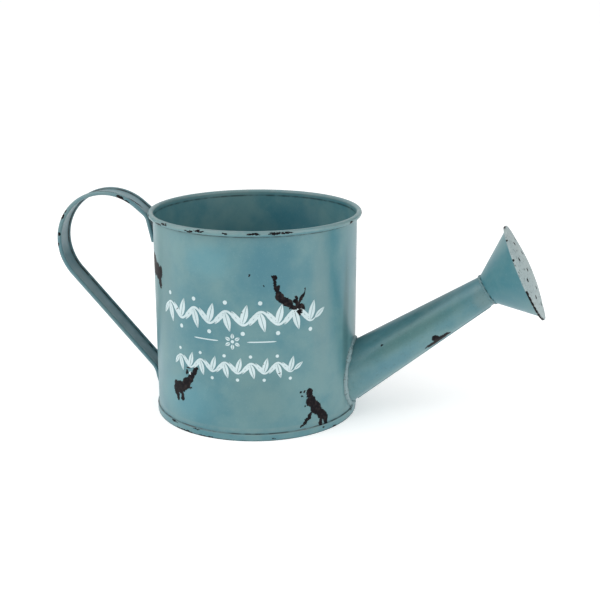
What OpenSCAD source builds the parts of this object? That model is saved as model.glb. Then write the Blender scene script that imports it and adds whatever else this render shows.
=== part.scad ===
// Painted tinplate watering can: a round can with a wired rim, a strap handle and a rose on its spout.
// The origin is the middle of the foot, on the surface that the can stands on. The spout points to +X.

/* [Body] */
// Radius of the can over its wall
body_r = 65; // [45:1:110]
// Height of the can from the surface to the top of its rolled rim
body_h = 132; // [110:1:220]
// Thickness of the tinplate in every piece
sheet = 0.4; // [0.3:0.05:0.6]
// Width of the rolled rim
rim_bead_d = 3.4; // [2.8:0.1:5]
// Height of the seam band at the foot
foot_h = 4.2; // [3:0.1:6]
// Width of the lock seam down the back of the can
seam_w = 6; // [4:0.5:10]

/* [Spout] */
// Height at which the spout's axis meets the can's wall
spout_z = 28.3; // [26:0.5:50]
// Angle of the spout above level
spout_rise = 35; // [25:1:50]
// Length of the spout from the can's wall to its tip, along its axis
spout_len = 102; // [70:1:160]
// Radius of the spout where its axis meets the wall
spout_root_r = 17; // [13:0.5:20]
// Radius of the spout at its tip
spout_tip_r = 9.6; // [7:0.2:12]

/* [Rose] */
// Radius of the rose over its crimped edge
rose_r = 31.25; // [24:0.25:45]
// Half angle of the rose's cone
rose_spread = 38.9; // [30:0.5:50]
// Angle that the rose bends down from the spout's axis
rose_tilt = 9; // [0:1:15]
// Height of the face plate's dome
dome_rise = 3.6; // [1:0.1:8]
// Diameter of each sprinkling hole
spray_hole_d = 1.9; // [1:0.1:3]
// Sprinkling holes in the inner and the outer ring
spray_ring_holes = [5, 10];
// Radius of the inner and the outer ring of holes
spray_ring_r = [12, 21.5];

/* [Handle] */
// Radius of the handle's top loop to the middle of the strap
loop_r = 32.85; // [25:0.5:45]
// Distance from the can's wall to the loop's centre
loop_reach = 33.7; // [28:0.5:50]
// Distance from the top of the rim down to the loop's centre
loop_drop = 25.4; // [18:0.5:32]
// Angle below level of the strap's straight run to the foot
strap_slope = 48.1; // [40:1:60]
// Distance between the middles of the strap's two rolled edges
strap_edges = 14.8; // [10:0.2:24]
// Diameter of the strap's rolled edges
strap_bead_d = 2.7; // [2:0.1:4]
// Radius of the bend above the lower tab
lower_bend_r = 13.6; // [6:0.5:20]
// Radius of the bend above the upper tab
upper_bend_r = 8; // [4:0.5:12]
// Distance from the top of the rim down to the upper tab's end
upper_tab_drop = 23.3; // [20:0.5:30]
// Angle from upright of the upper tab
upper_tab_lean = 13; // [5:1:20]
// Height of the flattened lower tab
lower_tab_h = 8.8; // [6:0.2:12]
// Thickness of the flattened lower tab
lower_tab_t = 1.5; // [1:0.1:2]

/* [Hidden] */
$fn = 192;
over = 1;                                   // how far a cutter runs past what it cuts

teal = [0.38, 0.58, 0.62];
teal_shade = [0.33, 0.52, 0.56];
pale_teal = [0.64, 0.73, 0.74];
solder_grey = [0.52, 0.62, 0.64];
steel = [0.55, 0.56, 0.57];
sealant_grey = [0.35, 0.36, 0.36];

// Body, rim and foot
bore_r = body_r - sheet;
foot_r = body_r + 2 * sheet;                // the foot's skirt wraps the wall's joggled edge
joggle_h = 0.6;                             // height over which the wall steps out to the foot
sealant_h = 0.3;
pan_draft = 0.3;                            // how far the base's inner skirt leans in to its panel
rim_r = bore_r + rim_bead_d / 2;            // middle of the rolled rim
rim_z = body_h - rim_bead_d / 2;
curl_end = -130;                            // the curl stops short of the wall
curl_steps = 24;
wire_gap = 0.05;                            // between the rim's wire and the curl
wire_r = rim_bead_d / 2 - sheet - wire_gap;
seam_top_gap = 2;                           // from the lock seam's end to the rim

// Spout
spout_taper = (spout_tip_r - spout_root_r) / spout_len;
spout_inside = 20;                          // how far the uncut cone runs on into the can
lap_w = 5;                                  // lap seam under the spout
lap_start = -8;
lap_end_gap = 4;
root_solder_w = 2.6;
root_solder_t = 1.4;

// Rose: the cone's oblique end meets the spout's end face all round
neck_r = spout_tip_r - sheet / 4;
neck_back = 2 * neck_r / (tan(rose_spread - rose_tilt) + tan(rose_spread + rose_tilt));
neck_up = neck_r - neck_back * tan(rose_spread - rose_tilt);
neck_solder_r = 1.2;
crimp_w = 1.6;                              // width of the crimped edge
cone_r = rose_r - crimp_w;                  // the cone's wide end, inside the crimp
cone_h = cone_r / tan(rose_spread);
crimp_slack = 0.25;                         // between the crimp's folded edge and the cone
dome_r = (cone_r * cone_r + dome_rise * dome_rise) / (2 * dome_rise);

// Handle
bead_r = strap_bead_d / 2;
bead_y = strap_edges / 2;
strap_w = strap_edges + strap_bead_d;
handle_solder_t = 0.2;
strap_lift = 0.1;                           // between the rolled edges and the solder's level
strap_lap = 0.05;                           // each straight run reaches this far into its neighbours
strap_inset = 0.01;                         // a straight run's walls are this much thinner on each side
tab_x = -sqrt(pow(body_r + handle_solder_t + strap_lift + bead_r, 2) - pow(bead_y, 2));
loop_c = [-(body_r + loop_reach), body_h - loop_drop];
lift_off_a = 50;                            // where the strap leaves the loop towards the rim
lower_tab_z = foot_h + joggle_h + 0.4;      // the lower tab stands just clear of the foot
lower_tab_top = lower_tab_z + lower_tab_h;
run_slope = landing_slope(strap_slope);     // on a low can, less steep, so that the bend ends above the tab
run_start_a = 270 - run_slope;              // where the straight run leaves the loop
run_start = loop_c + loop_r * dir(run_start_a);
run_meet = [tab_x, run_start[1] - (tab_x - run_start[0]) * tan(run_slope)];
lower_bend_a = 90 - run_slope;
lower_bend_t = lower_bend_r * tan(lower_bend_a / 2);
run_end = run_meet + lower_bend_t * dir(180 - run_slope);
lower_bend_end = run_meet - [0, lower_bend_t];
upper_tab_end = [tab_x, body_h - upper_tab_drop];
upper_tab_up = dir(90 + upper_tab_lean);
lift_off = loop_c + loop_r * dir(lift_off_a);
lift_off_dir = dir(lift_off_a - 90);
upper_meet = crossing(lift_off, lift_off_dir, upper_tab_end, upper_tab_up);
upper_bend_a = lift_off_a - upper_tab_lean;
upper_bend_t = upper_bend_r * tan(upper_bend_a / 2);
upper_bend_start = upper_meet - upper_bend_t * lift_off_dir;
upper_bend_end = upper_meet + upper_bend_t * upper_tab_up;
upper_bend_c = upper_bend_start - upper_bend_r * dir(lift_off_a);
upper_solder_h = 5;
upper_solder_w = strap_edges - strap_bead_d - 0.2;

function dir(a) = [cos(a), sin(a)];

function arc(c, r, from, to, steps) = [for (i = [0:steps]) c + r * dir(from + (to - from) * i / steps)];

// Height at which the lower bend ends when the straight run slopes at a
function bend_end_z(a) =
    let (from = loop_c + loop_r * dir(270 - a))
    from[1] - (tab_x - from[0]) * tan(a) - lower_bend_r * tan((90 - a) / 2);

// The steepest slope, at most a, that ends above the lower tab
function landing_slope(a) = bend_end_z(a) >= lower_tab_top || a < 20 ? a : landing_slope(a - 0.5);

// Point where the line from p along u crosses the line from q along v
function crossing(p, u, q, v) =
    p + u * ((q[0] - p[0]) * v[1] - (q[1] - p[1]) * v[0]) / (u[0] * v[1] - u[1] * v[0]);

function spout_r(s) = spout_root_r + spout_taper * s;

// Radius of the seam's inner face at height z, leaning in with the base's skirt
function seam_in_r(z) = body_r - pan_draft * (z - sheet) / (foot_h - sheet);

// Body

module ring(r_in, r_out, h) {
    difference() {
        cylinder(r = r_out, h = h);
        translate([0, 0, -over]) cylinder(r = r_in, h = h + 2 * over);
    }
}

module wall_profile() {
    polygon(concat(
        [
            [seam_in_r(sheet + sealant_h), sheet + sealant_h],
            [foot_r - sheet, sheet + sealant_h],
            [foot_r - sheet, foot_h],
            [body_r, foot_h + joggle_h]
        ],
        arc([rim_r, rim_z], rim_bead_d / 2 - sheet, 180, curl_end, curl_steps),
        arc([rim_r, rim_z], rim_bead_d / 2, curl_end, 180, curl_steps),
        [
            [bore_r, foot_h + joggle_h],
            [seam_in_r(foot_h), foot_h]
        ]
    ));
}

module lock_seam() {
    seam_z = foot_h + joggle_h;
    intersection() {
        translate([0, 0, seam_z])
            ring(body_r - sheet / 2, foot_r, rim_z - rim_bead_d / 2 - seam_top_gap - seam_z);
        translate([-seam_w / 2, 0, 0]) cube([seam_w, foot_r + over, body_h]);
    }
}

module body_wall() {
    color(teal) difference() {
        union() {
            rotate_extrude() wall_profile();
            lock_seam();
        }
        spout_frame() spout_cone(-sheet, -spout_inside, spout_inside);
    }
}

module rim_wire() {
    color(steel) translate([0, 0, rim_z])
        rotate_extrude() translate([rim_r, 0]) circle(r = wire_r, $fn = 32);
}

module base_pan() {
    color(teal_shade) rotate_extrude() polygon([
        [0, foot_h - sheet],
        [bore_r - pan_draft, foot_h - sheet],
        [bore_r, 0],
        [foot_r, 0],
        [foot_r, foot_h],
        [foot_r - sheet, foot_h],
        [foot_r - sheet, sheet],
        [seam_in_r(sheet), sheet],
        [seam_in_r(foot_h), foot_h],
        [0, foot_h]
    ]);
}

module base_seam_sealant() {
    color(sealant_grey) rotate_extrude() polygon([
        [seam_in_r(sheet), sheet],
        [foot_r - sheet, sheet],
        [foot_r - sheet, sheet + sealant_h],
        [seam_in_r(sheet + sealant_h), sheet + sealant_h]
    ]);
}

// Handle

module strap_section(inset) {
    for (side = [-1, 1]) translate([0, side * bead_y]) difference() {
        circle(r = bead_r - inset, $fn = 32);
        circle(r = bead_r - sheet + inset, $fn = 32);
    }
    web_w = strap_edges - 2 * bead_r + sheet;
    square([sheet - 2 * inset, web_w], center = true);
}

module strap_bend(c, r, from, to) {
    translate([c[0], 0, c[1]]) rotate([90, 0, 0])
        rotate_extrude(angle = to - from, start = from) translate([r, 0]) strap_section(0);
}

module strap_run(p, q) {
    v = q - p;
    translate([p[0], 0, p[1]]) rotate([0, atan2(v[0], v[1]), 0])
        translate([0, 0, -strap_lap])
            linear_extrude(norm(v) + 2 * strap_lap) strap_section(strap_inset);
}

module tab_slice(r_in, r_out, w, z, h) {
    intersection() {
        translate([0, 0, z]) ring(r_in, r_out, h);
        translate([-r_out - over, -w / 2, z]) cube([r_out, w, h]);
    }
}

module handle_strap() {
    tab_r = body_r + handle_solder_t;
    color(teal) union() {
        strap_bend(loop_c, loop_r, lift_off_a, run_start_a);
        strap_run(run_start, run_end);
        strap_bend([tab_x - lower_bend_r, lower_bend_end[1]], lower_bend_r, 0, lower_bend_a);
        strap_run(lower_bend_end, [tab_x, lower_tab_top]);
        tab_slice(tab_r, tab_r + lower_tab_t, strap_w, lower_tab_z, lower_tab_h);
        strap_run(lift_off, upper_bend_start);
        strap_bend(upper_bend_c, upper_bend_r, upper_tab_lean, lift_off_a);
        strap_run(upper_bend_end, upper_tab_end);
    }
}

module handle_upper_solder() {
    web = upper_tab_end + sheet / 2 * dir(upper_tab_lean);
    web_top = web + upper_solder_h * upper_tab_up;
    color(solder_grey) difference() {
        rotate([90, 0, 0]) linear_extrude(upper_solder_w, center = true)
            polygon([web, [over - bore_r, web[1]], [over - bore_r, web_top[1]], web_top]);
        cylinder(r = body_r, h = body_h);
    }
}

module handle_lower_solder() {
    color(solder_grey)
        tab_slice(body_r, body_r + handle_solder_t, strap_w, lower_tab_z, lower_tab_h);
}

// Spout

module spout_frame() {
    translate([body_r, 0, spout_z]) rotate([0, 90 - spout_rise, 0]) children();
}

module spout_cone(extra, from, to) {
    translate([0, 0, from])
        cylinder(h = to - from, r1 = spout_r(from) + extra, r2 = spout_r(to) + extra);
}

module lap_seam() {
    lap_end = spout_len - lap_end_gap;
    intersection() {
        spout_cone(sheet, lap_start, lap_end);
        translate([0, -lap_w / 2, lap_start]) cube([spout_root_r * 2, lap_w, lap_end - lap_start]);
    }
}

module spout_tube() {
    color(teal) difference() {
        spout_frame() difference() {
            union() {
                spout_cone(0, -spout_inside, spout_len);
                lap_seam();
            }
            spout_cone(-sheet, -spout_inside - over, spout_len + over);
        }
        cylinder(r = body_r, h = body_h);
    }
}

module spout_root_solder() {
    bead_z = foot_h + joggle_h + 0.1;
    color(solder_grey) difference() {
        intersection() {
            spout_frame() spout_cone(root_solder_w, -spout_inside, spout_inside);
            translate([0, 0, bead_z]) ring(body_r, body_r + root_solder_t, body_h - bead_z);
        }
        spout_frame() spout_cone(0, -spout_inside - over, spout_inside + over);
    }
}

// Rose

module rose_frame() {
    spout_frame() translate([-neck_up, 0, spout_len - neck_back]) rotate([0, rose_tilt, 0]) children();
}

module rose_solid() {
    cylinder(h = cone_h, r1 = 0, r2 = cone_r);
}

module rose_cone() {
    color(teal) difference() {
        rose_frame() difference() {
            union() {
                rose_solid();
                translate([0, 0, cone_h - sheet]) ring(cone_r - over, rose_r - sheet, sheet);
            }
            translate([0, 0, sheet / sin(rose_spread)]) rose_solid();
        }
        spout_frame() translate([0, 0, -over]) cylinder(r = cone_r, h = spout_len + over);
    }
}

module rose_neck_solder() {
    color(solder_grey) difference() {
        spout_frame() difference() {
            translate([0, 0, spout_len]) rotate_extrude()
                translate([spout_tip_r, 0]) circle(r = neck_solder_r, $fn = 32);
            spout_cone(0, spout_len - 2 * neck_solder_r, spout_len);
        }
        rose_frame() rose_solid();
    }
}

module spray_holes() {
    translate([0, 0, cone_h - over]) {
        cylinder(d = spray_hole_d, h = dome_rise + 3 * over, $fn = 24);
        for (k = [0:len(spray_ring_r) - 1])
            for (i = [0:spray_ring_holes[k] - 1])
                rotate([0, 0, 360 * (i + 0.5 * k) / spray_ring_holes[k]])
                    translate([-spray_ring_r[k], 0, 0])
                        cylinder(d = spray_hole_d, h = dome_rise + 3 * over, $fn = 24);
    }
}

module dome() {
    translate([0, 0, cone_h + dome_rise - dome_r]) difference() {
        intersection() {
            sphere(r = dome_r + sheet);
            translate([0, 0, dome_r - dome_rise]) cylinder(r = cone_r, h = dome_rise + over);
        }
        sphere(r = dome_r);
    }
}

module crimp() {
    edge_r = cone_r + crimp_slack;
    translate([0, 0, cone_h]) rotate_extrude() polygon([
        [cone_r - sheet, 0],
        [rose_r - sheet, 0],
        [rose_r - sheet, -sheet],
        [edge_r, -sheet],
        [edge_r, -2 * sheet],
        [rose_r, -2 * sheet],
        [rose_r, sheet],
        [cone_r - sheet, sheet]
    ]);
}

module rose_face_plate() {
    color(pale_teal) rose_frame() difference() {
        union() {
            dome();
            crimp();
        }
        spray_holes();
    }
}

body_wall();
rim_wire();
base_pan();
base_seam_sealant();
handle_strap();
handle_upper_solder();
handle_lower_solder();
spout_tube();
spout_root_solder();
rose_cone();
rose_neck_solder();
rose_face_plate();
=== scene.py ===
"""Looks of a painted tinplate watering can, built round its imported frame.

The frame gives every piece its place: +Z is up, the can stands on z = 0 with its axis on Z, the
spout points to +X and the handle to -X. Sizes in the classes below are in millimetres.
"""

import logging
import math
from contextlib import contextmanager
from dataclasses import dataclass, field
from enum import Enum
from functools import cache
from typing import Callable, Iterator, Sequence

import bpy
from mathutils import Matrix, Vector, noise

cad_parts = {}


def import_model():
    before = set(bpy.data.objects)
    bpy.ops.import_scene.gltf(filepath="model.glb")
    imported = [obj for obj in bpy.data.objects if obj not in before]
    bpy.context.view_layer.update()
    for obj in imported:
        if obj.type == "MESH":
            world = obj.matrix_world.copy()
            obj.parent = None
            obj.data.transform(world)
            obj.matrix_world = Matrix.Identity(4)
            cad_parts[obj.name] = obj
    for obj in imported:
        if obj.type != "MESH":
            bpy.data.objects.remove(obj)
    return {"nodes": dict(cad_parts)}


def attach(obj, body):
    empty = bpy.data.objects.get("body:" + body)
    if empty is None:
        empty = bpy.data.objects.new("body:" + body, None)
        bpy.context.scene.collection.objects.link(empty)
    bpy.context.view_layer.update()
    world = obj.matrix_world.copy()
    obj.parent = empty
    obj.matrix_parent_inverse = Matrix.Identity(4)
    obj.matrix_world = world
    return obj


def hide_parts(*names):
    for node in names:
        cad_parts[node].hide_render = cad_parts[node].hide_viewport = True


MM = 0.001
ROOT = "root"
MERGE = 0.002  # mm within which vertices are one

Colour = tuple[float, float, float]
Socket = bpy.types.NodeSocket

log = logging.getLogger("watering_can")


class Slot(Enum):
    """Names of two material slots of the record; this script gives them to no piece."""

    PAINT = "teal_paint"
    SOLDER = "painted_solder"


# ---------------------------------------------------------------- shared tools


@contextmanager
def edit_mode(piece: bpy.types.Object) -> Iterator[None]:
    """Opens a piece in edit mode with nothing selected, and closes it again.

    Args:
        piece: The object to edit.
    """
    choose(piece)
    bpy.ops.object.mode_set(mode="EDIT")
    bpy.ops.mesh.select_mode(type="VERT")
    bpy.ops.mesh.select_all(action="DESELECT")
    yield
    bpy.ops.object.mode_set(mode="OBJECT")


def choose(piece: bpy.types.Object) -> None:
    """Selects one object alone and makes it active."""
    bpy.ops.object.select_all(action="DESELECT")
    piece.select_set(True)
    bpy.context.view_layer.objects.active = piece


def start_piece(name: str) -> bpy.types.Object:
    """Names the primitive that was just added and puts its place into its mesh.

    Args:
        name: The piece's name.

    Returns:
        The object, at the origin, unturned and unscaled.
    """
    piece = bpy.context.active_object
    piece.name = piece.data.name = name
    bpy.ops.object.transform_apply(location=True, rotation=True, scale=True)
    return piece


def pick_vertices(piece: bpy.types.Object, test: Callable[[Vector], bool]) -> None:
    """Selects the vertices that pass a test, from inside edit mode.

    Args:
        piece: The object in edit mode.
        test: Takes a vertex's place in metres and says whether to select it.
    """
    bpy.ops.object.mode_set(mode="OBJECT")
    for vertex in piece.data.vertices:
        vertex.select = test(vertex.co)
    bpy.ops.object.mode_set(mode="EDIT")


def modify(piece: bpy.types.Object, kind: str, **settings: object) -> None:
    """Adds a modifier to a piece and applies it.

    Args:
        piece: The object to change.
        kind: Blender's name of the modifier, such as SOLIDIFY.
        **settings: Values of the modifier.
    """
    choose(piece)
    modifier = piece.modifiers.new(kind.title(), kind)
    for key, value in settings.items():
        setattr(modifier, key, value)
    bpy.ops.object.modifier_apply(modifier=modifier.name)


def copy_solid(node: str, name: str) -> bpy.types.Object:
    """Copies a solid's mesh into a new, merged piece.

    Args:
        node: The solid's name.
        name: The new piece's name.

    Returns:
        The new piece.
    """
    mesh = frame["nodes"][node].data.copy()
    mesh.name = name
    piece = bpy.data.objects.new(name, mesh)
    bpy.context.collection.objects.link(piece)
    outward(piece)
    return piece


def join(pieces: Sequence[bpy.types.Object], name: str) -> bpy.types.Object:
    """Joins pieces into the first of them.

    Args:
        pieces: The objects to join.
        name: Name of the result.

    Returns:
        The joined object.
    """
    choose(pieces[0])
    for piece in pieces:
        piece.select_set(True)
    bpy.ops.object.join()
    pieces[0].name = pieces[0].data.name = name
    return pieces[0]


def smooth(piece: bpy.types.Object, degrees: float = 35.0) -> None:
    """Shades a piece smooth, apart from edges sharper than an angle."""
    choose(piece)
    bpy.ops.object.shade_smooth_by_angle(angle=math.radians(degrees))


def outward(piece: bpy.types.Object) -> None:
    """Merges doubled vertices and turns every face outwards."""
    with edit_mode(piece):
        bpy.ops.mesh.select_all(action="SELECT")
        bpy.ops.mesh.remove_doubles(threshold=MERGE * MM)
        bpy.ops.mesh.normals_make_consistent(inside=False)


def dress(piece: bpy.types.Object, material: bpy.types.Material) -> None:
    """Gives a piece one material on all its faces."""
    piece.data.materials.clear()
    piece.data.materials.append(material)


# ---------------------------------------------------------------- node tools


class Graph:
    """Adds nodes to one tree and links them."""

    def __init__(self, tree: bpy.types.NodeTree) -> None:
        """Starts on an empty tree."""
        self.tree = tree
        tree.nodes.clear()

    def node(self, kind: str, **settings: object) -> bpy.types.Node:
        """Adds one node.

        Args:
            kind: The node's Blender type.
            **settings: Properties of the node.

        Returns:
            The new node.
        """
        made = self.tree.nodes.new(kind)
        for key, value in settings.items():
            setattr(made, key, value)
        return made

    def feed(self, target: Socket, value: object) -> None:
        """Links a socket into another, or sets a plain value on it."""
        if isinstance(value, bpy.types.NodeSocket):
            self.tree.links.new(value, target)
        else:
            target.default_value = value

    def math(self, operation: str, *values: object) -> Socket:
        """Adds a Math node and returns its output."""
        made = self.node("ShaderNodeMath", operation=operation)
        for socket, value in zip(made.inputs, values):
            self.feed(socket, value)
        return made.outputs[0]

    def vector(self, operation: str, *values: object) -> bpy.types.Node:
        """Adds a Vector Math node and returns it."""
        made = self.node("ShaderNodeVectorMath", operation=operation)
        for socket, value in zip(made.inputs, values):
            self.feed(socket, value)
        return made

    def noise(self, place: Socket, scale: float, detail: float = 2.0, **settings: float) -> bpy.types.Node:
        """Adds a noise texture.

        Args:
            place: The coordinates that it reads.
            scale: Cells in a metre.
            detail: Octaves of finer noise.
            **settings: Other inputs of the node by name, such as Roughness.

        Returns:
            The noise node.
        """
        made = self.node("ShaderNodeTexNoise")
        self.feed(made.inputs["Vector"], place)
        made.inputs["Scale"].default_value = scale
        made.inputs["Detail"].default_value = detail
        for key, value in settings.items():
            made.inputs[key].default_value = value
        return made

    def ramp(self, value: Socket, low: float, high: float, start: float = 0.0, end: float = 1.0) -> Socket:
        """Maps a value smoothly from low..high to start..end, clamped at both ends."""
        made = self.node("ShaderNodeMapRange", interpolation_type="SMOOTHSTEP")
        for key, given in (("Value", value), ("From Min", low), ("From Max", high), ("To Min", start), ("To Max", end)):
            self.feed(made.inputs[key], given)
        return made.outputs["Result"]

    def mix(self, share: object, first: object, second: object) -> Socket:
        """Mixes two colours and returns the result."""
        made = self.node("ShaderNodeMix", data_type="RGBA")
        for socket, value in zip((made.inputs[0], made.inputs[6], made.inputs[7]), (share, first, second)):
            self.feed(socket, (*value, 1.0) if isinstance(value, tuple) and len(value) == 3 else value)
        return made.outputs[2]

    def bump(self, height: Socket, strength: float) -> Socket:
        """Adds a Bump node that reads a height in mm, and returns its normal."""
        made = self.node("ShaderNodeBump")
        made.inputs["Distance"].default_value = MM
        made.inputs["Strength"].default_value = strength
        self.feed(made.inputs["Height"], height)
        return made.outputs["Normal"]

    def group(self, tree: bpy.types.NodeTree, **inputs: object) -> bpy.types.Node:
        """Places a node group and feeds its inputs by name."""
        made = self.node("ShaderNodeGroup", node_tree=tree)
        for key, value in inputs.items():
            self.feed(made.inputs[key], value)
        return made


def start_material(name: str) -> tuple[bpy.types.Material, Graph, Socket, bpy.types.Node]:
    """Starts a material with one Principled shader.

    Args:
        name: The material's name.

    Returns:
        The material, its graph, the Object coordinates and the shader.
    """
    material = bpy.data.materials.new(name)
    material.use_nodes = True
    graph = Graph(material.node_tree)
    place = graph.node("ShaderNodeTexCoord").outputs["Object"]
    shader = graph.node("ShaderNodeBsdfPrincipled")
    graph.feed(graph.node("ShaderNodeOutputMaterial").inputs["Surface"], shader.outputs[0])
    return material, graph, place, shader


def new_group(
    name: str, inputs: dict[str, tuple[str, object]], outputs: dict[str, str]
) -> tuple[Graph, dict[str, Socket], bpy.types.Node]:
    """Starts a shader node group.

    Args:
        name: The group's name.
        inputs: Kind and default value of each input, by name.
        outputs: Kind of each output, by name.

    Returns:
        The group's graph, its inputs by name, and its output node.
    """
    tree = bpy.data.node_groups.new(name, "ShaderNodeTree")
    graph = Graph(tree)
    for key, (kind, value) in inputs.items():
        socket = tree.interface.new_socket(key, in_out="INPUT", socket_type=f"NodeSocket{kind}")
        if value is not None:
            socket.default_value = value
    for key, kind in outputs.items():
        tree.interface.new_socket(key, in_out="OUTPUT", socket_type=f"NodeSocket{kind}")
    start, end = graph.node("NodeGroupInput"), graph.node("NodeGroupOutput")
    return graph, {key: start.outputs[key] for key in inputs}, end


@dataclass(frozen=True)
class Fleck:
    """One stretched blob of missing paint.

    Attributes:
        place: Its middle, in mm in the frame.
        half: Its half sizes along its own three axes, in mm.
        turn: Turns of its axes about X, Y and Z, in degrees.
    """

    place: tuple[float, float, float]
    half: tuple[float, float, float]
    turn: tuple[float, float, float] = (0.0, 0.0, 0.0)


@dataclass(frozen=True)
class Line:
    """A straight line of another colour: painted shade in a groove, a crease or under a rim, or a pale edge that is
    partly paint rubbed thin and partly painted highlight.

    Attributes:
        axis: Axis along which its place is given; both sides of zero get it.
        at: Its distance from zero on that axis, in mm.
        half: Half its width, in mm.
        colour: Its colour.
        share: How strongly it covers the paint.
    """

    axis: str
    at: float
    half: float
    # Default dark colour: painted shade.
    colour: Colour = (0.010, 0.022, 0.024)
    share: float = 0.85


# Pale colour for edges: partly paint rubbed thin, partly painted highlight.
EDGE_WEAR_AND_HIGHLIGHT: Colour = (0.19, 0.27, 0.27)
FAR_OFF = 9.0  # a distance, in flecks, at which none shows
MOST_IN_BUMP = 20  # flecks that a bump can read before Cycles runs out of room for its nodes


@dataclass(frozen=True)
class Tone:
    """A wide soft patch of another colour: where the paint came out another colour, or painted shade, light or
    reflection.

    Attributes:
        spot: Its place, size and turn.
        colour: Its colour.
        share: How strongly it shows in its middle.
    """

    spot: Fleck
    colour: Colour
    share: float = 0.5


class Effects:
    """Shader node groups that several finishes share, each built once."""

    @staticmethod
    @cache
    def brushed_coat() -> bpy.types.NodeTree:
        """Enamel's uneven colour and surface.

        Returns:
            A group with the outputs Patch, Speck, Gloss and Height.
        """
        graph, given, end = new_group(
            "enamel_coat", {"Place": ("Vector", None)}, dict.fromkeys(("Patch", "Speck", "Gloss", "Height"), "Float")
        )
        place = given["Place"]
        wide = graph.noise(place, 16.0, 3.0, Roughness=0.55).outputs["Fac"]
        middle = graph.noise(place, 75.0, 4.0, Roughness=0.6).outputs["Fac"]
        fine = graph.noise(place, 900.0, 3.0, Roughness=0.7).outputs["Fac"]
        peel = graph.noise(place, 420.0, 2.0).outputs["Fac"]
        dent = graph.noise(place, 22.0, 1.0).outputs["Fac"]
        patch = graph.math("ADD", graph.math("MULTIPLY", wide, 0.62), graph.math("MULTIPLY", middle, 0.38))
        height = graph.math("ADD", graph.math("MULTIPLY", peel, 0.035), graph.math("MULTIPLY", dent, 1.1))
        graph.feed(end.inputs["Patch"], graph.ramp(patch, 0.36, 0.64))
        graph.feed(end.inputs["Speck"], graph.ramp(fine, 0.56, 0.74))
        graph.feed(end.inputs["Gloss"], graph.ramp(middle, 0.3, 0.7))
        graph.feed(end.inputs["Height"], height)
        return graph.tree

    @staticmethod
    @cache
    def ragged() -> bpy.types.NodeTree:
        """Coordinates pushed about a little, so that what reads them gets ragged edges.

        Returns:
            A group with the output Place.
        """
        graph, given, end = new_group(
            "ragged_edges", {"Place": ("Vector", None), "Reach": ("Float", 1.0)}, {"Place": "Vector"}
        )
        push = given["Place"]
        for cells, reach in ((330.0, 2.4), (1000.0, 2.0)):
            pushed = graph.noise(given["Place"], cells, 2.0, Roughness=0.65).outputs["Color"]
            centred = graph.vector("SUBTRACT", pushed, (0.5, 0.5, 0.5)).outputs[0]
            scaled = graph.vector("SCALE", centred)
            graph.feed(scaled.inputs["Scale"], graph.math("MULTIPLY", given["Reach"], reach * MM))
            push = graph.vector("ADD", push, scaled.outputs[0]).outputs[0]
        graph.feed(end.inputs["Place"], push)
        return graph.tree

    @staticmethod
    def local(graph: Graph, place: Socket, fleck: Fleck) -> Socket:
        """Coordinates in which a fleck is a ball of radius 1.

        Args:
            graph: The graph to add to.
            place: Object coordinates.
            fleck: The fleck.

        Returns:
            The fleck's own coordinates.
        """
        mapping = graph.node("ShaderNodeMapping", vector_type="TEXTURE")
        graph.feed(mapping.inputs["Vector"], place)
        mapping.inputs["Location"].default_value = [v * MM for v in fleck.place]
        mapping.inputs["Rotation"].default_value = [math.radians(v) for v in fleck.turn]
        mapping.inputs["Scale"].default_value = [v * MM for v in fleck.half]
        return mapping.outputs[0]

    @staticmethod
    @cache
    def spot() -> bpy.types.NodeTree:
        """A ball that fades out softly and unevenly.

        Returns:
            A group with the output Share.
        """
        graph, given, end = new_group("soft_spot", {"Place": ("Vector", None)}, {"Share": "Float"})
        away = graph.vector("LENGTH", given["Place"]).outputs["Value"]
        uneven = graph.noise(given["Place"], 2.4, 3.0).outputs["Fac"]
        away = graph.math("MULTIPLY_ADD", graph.math("SUBTRACT", uneven, 0.5), 0.5, away)
        graph.feed(end.inputs["Share"], graph.ramp(away, 0.25, 1.15, 1.0, 0.0))
        return graph.tree

    @staticmethod
    def flecks(name: str, flecks: Sequence[Fleck]) -> bpy.types.NodeTree:
        """Bare patches at chosen places.

        Args:
            name: The group's name.
            flecks: The blobs that together make the patches.

        Returns:
            A group with the output Bare, which is 1 where the paint is gone.
        """
        graph, given, end = new_group(name, {"Place": ("Vector", None)}, {"Bare": "Float"})
        nearest: object = FAR_OFF
        for fleck in flecks:
            away = graph.vector("LENGTH", Effects.local(graph, given["Place"], fleck)).outputs["Value"]
            nearest = graph.math("MINIMUM", away, nearest)
        graph.feed(end.inputs["Bare"], graph.ramp(nearest, 0.93, 1.03, 1.0, 0.0))
        return graph.tree


# ---------------------------------------------------------------- finishes


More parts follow.
